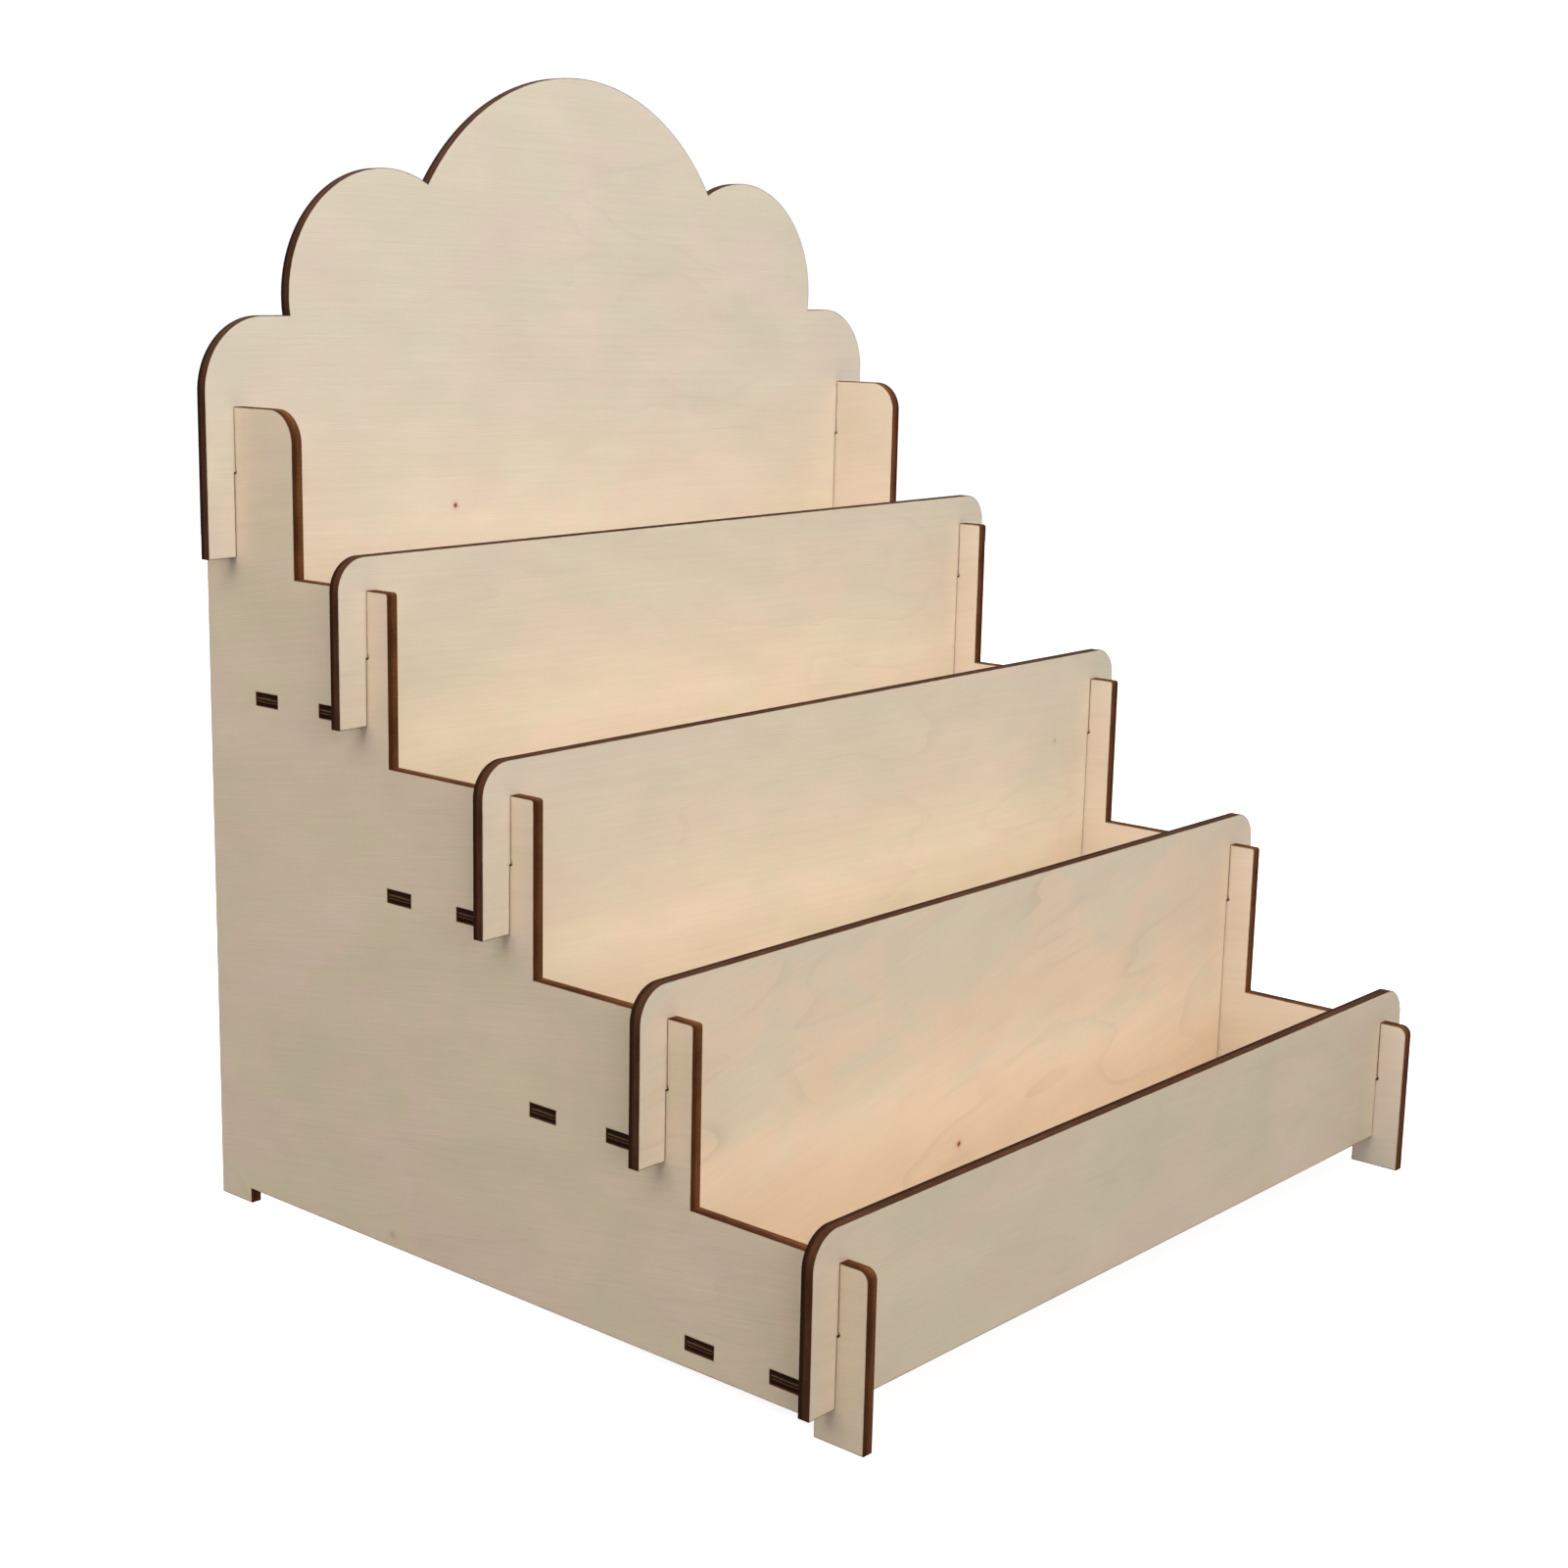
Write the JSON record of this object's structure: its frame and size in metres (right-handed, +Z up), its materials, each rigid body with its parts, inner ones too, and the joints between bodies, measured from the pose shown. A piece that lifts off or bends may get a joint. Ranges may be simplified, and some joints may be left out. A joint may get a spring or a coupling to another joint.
{
  "type": "paint rack organizer",
  "caption": "Stepped tabletop rack of slotted thin plywood panels with open trays for small paint bottles and a cloud-shaped back.",
  "frame": {"origin": "centre of the rack's footprint box, on the surface the feet stand on", "axes": "+X to the right, -Y towards the front, +Z up"},
  "size_m": [0.251, 0.2116, 0.286],
  "materials": {
    "panel_ply": "bare pale plywood face, matt, with scorched brown laser-cut edges",
    "side_ply": "bare pale plywood face, matt, with scorched brown laser-cut edges",
    "shelf_ply": "bare pale plywood face, matt, with scorched brown laser-cut edges"
  },
  "bodies": {
    "root": {"side_left": "side_ply", "side_right": "side_ply", "back_panel": "panel_ply", "divider_1": "panel_ply", "divider_2": "panel_ply", "divider_3": "panel_ply", "front_panel": "panel_ply", "shelf_1": "shelf_ply", "shelf_2": "shelf_ply", "shelf_3": "shelf_ply", "shelf_4": "shelf_ply"}
  },
  "joints": []
}
